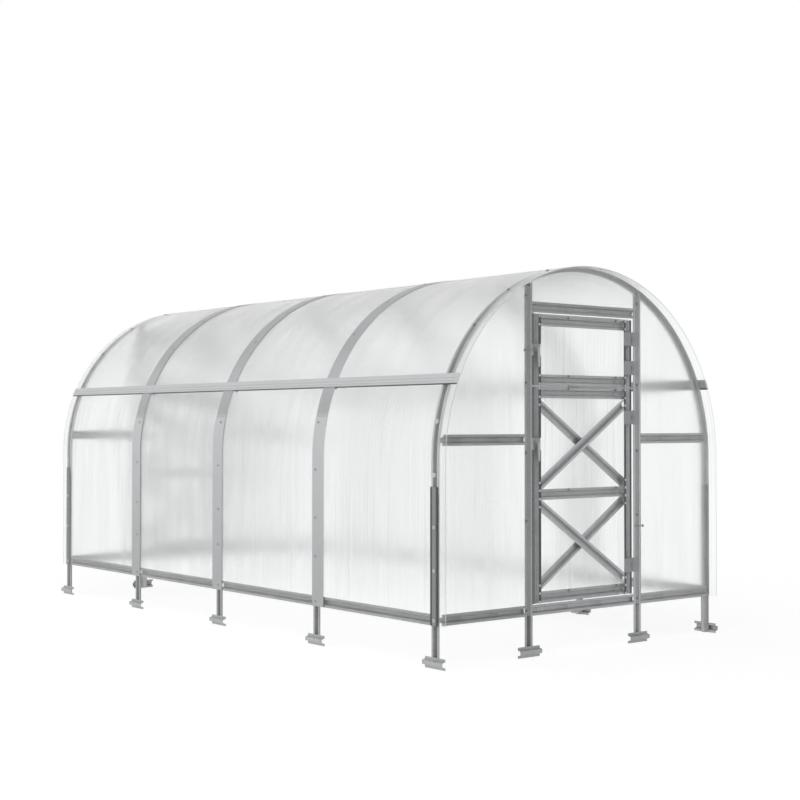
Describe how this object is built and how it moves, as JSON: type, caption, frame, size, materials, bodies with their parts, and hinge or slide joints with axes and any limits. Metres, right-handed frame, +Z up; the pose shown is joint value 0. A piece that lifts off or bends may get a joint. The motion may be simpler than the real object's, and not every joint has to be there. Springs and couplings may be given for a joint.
{
  "type": "arched greenhouse",
  "caption": "Arched walk-in greenhouse: galvanised hat-section arches on legs under twin-wall sheets, with a braced hinged door and a vent above it in each end.",
  "frame": {"origin": "on the ground under the middle of the house, at the level of the leg ends", "axes": "+Z up, +Y along the house from the front door to the rear door, +X across to the right seen from in front of the front door"},
  "size_m": [2.074, 4.166, 2.0352],
  "materials": {
    "galvanised_steel": "galvanised, satin, with a faint spangle",
    "zinc_strip": "smooth zinc coat, satin",
    "fittings_steel": "zinc-plated, satin",
    "polycarbonate": "clear twin-wall sheet, frosted by its fine ribs"
  },
  "bodies": {
    "frame": {"arch_2": "galvanised_steel", "arch_3": "galvanised_steel", "arch_4": "galvanised_steel", "corner_clamps": "galvanised_steel", "door_headers": "galvanised_steel", "door_posts": "galvanised_steel", "end_base_rails": "galvanised_steel", "end_cross_rails": "galvanised_steel", "front_arch": "galvanised_steel", "front_hinge_pins": "fittings_steel", "front_left_sheet": "polycarbonate", "front_post_hinge_leaves": "fittings_steel", "front_right_sheet": "polycarbonate", "front_top_sheet": "polycarbonate", "left_base_rails": "galvanised_steel", "left_joint_strip": "zinc_strip", "left_legs": "galvanised_steel", "left_wall_sheets": "polycarbonate", "leg_anchors": "galvanised_steel", "leg_splices": "galvanised_steel", "post_anchors": "galvanised_steel", "rear_arch": "galvanised_steel", "rear_hinge_pins": "fittings_steel", "rear_left_sheet": "polycarbonate", "rear_post_hinge_leaves": "fittings_steel", "rear_right_sheet": "polycarbonate", "rear_top_sheet": "polycarbonate", "right_base_rails": "galvanised_steel", "right_joint_strip": "zinc_strip", "right_legs": "galvanised_steel", "right_wall_sheets": "polycarbonate", "roof_bands": "zinc_strip", "roof_sheet_1": "polycarbonate", "roof_sheet_2": "polycarbonate", "roof_sheet_3": "polycarbonate", "roof_sheet_4": "polycarbonate", "wall_bands": "zinc_strip"},
    "front_door_leaf": {"front_door_braces": "galvanised_steel", "front_door_fittings": "fittings_steel", "front_door_rails": "galvanised_steel", "front_door_sheet": "polycarbonate", "front_door_stiles": "galvanised_steel"},
    "front_door_handle": {"front_door_latch": "fittings_steel"},
    "front_vent_leaf": {"front_vent_fittings": "fittings_steel", "front_vent_rails": "galvanised_steel", "front_vent_sheet": "polycarbonate", "front_vent_stiles": "galvanised_steel"},
    "front_vent_handle": {"front_vent_latch": "fittings_steel"},
    "rear_door_leaf": {"rear_door_braces": "galvanised_steel", "rear_door_fittings": "fittings_steel", "rear_door_rails": "galvanised_steel", "rear_door_sheet": "polycarbonate", "rear_door_stiles": "galvanised_steel"},
    "rear_door_handle": {"rear_door_latch": "fittings_steel"},
    "rear_vent_leaf": {"rear_vent_fittings": "fittings_steel", "rear_vent_rails": "galvanised_steel", "rear_vent_sheet": "polycarbonate", "rear_vent_stiles": "galvanised_steel"},
    "rear_vent_handle": {"rear_vent_latch": "fittings_steel"}
  },
  "joints": [
    {"name": "front_door_swing", "type": "hinge", "parent": "frame", "child": "front_door_leaf", "pos_m": [0.371, -2.032, 0.82999], "axis": [0, 0, 1], "range_deg": [0, 160]},
    {"name": "front_door_handle_turn", "type": "hinge", "parent": "front_door_leaf", "child": "front_door_handle", "pos_m": [-0.354, -2.028, 1.09549], "axis": [0, -1, 0], "range_deg": [0, 90]},
    {"name": "front_vent_swing", "type": "hinge", "parent": "frame", "child": "front_vent_leaf", "pos_m": [0.371, -2.032, 1.58299], "axis": [0, 0, 1], "range_deg": [0, 160]},
    {"name": "front_vent_handle_turn", "type": "hinge", "parent": "front_vent_leaf", "child": "front_vent_handle", "pos_m": [-0.354, -2.028, 1.58299], "axis": [0, -1, 0], "range_deg": [0, 90]},
    {"name": "rear_door_swing", "type": "hinge", "parent": "frame", "child": "rear_door_leaf", "pos_m": [-0.371, 2.032, 0.82999], "axis": [0, 0, 1], "range_deg": [0, 160]},
    {"name": "rear_door_handle_turn", "type": "hinge", "parent": "rear_door_leaf", "child": "rear_door_handle", "pos_m": [0.354, 2.028, 1.09549], "axis": [0, 1, 0], "range_deg": [0, 90]},
    {"name": "rear_vent_swing", "type": "hinge", "parent": "frame", "child": "rear_vent_leaf", "pos_m": [-0.371, 2.032, 1.58299], "axis": [0, 0, 1], "range_deg": [0, 160]},
    {"name": "rear_vent_handle_turn", "type": "hinge", "parent": "rear_vent_leaf", "child": "rear_vent_handle", "pos_m": [0.354, 2.028, 1.58299], "axis": [0, 1, 0], "range_deg": [0, 90]}
  ]
}
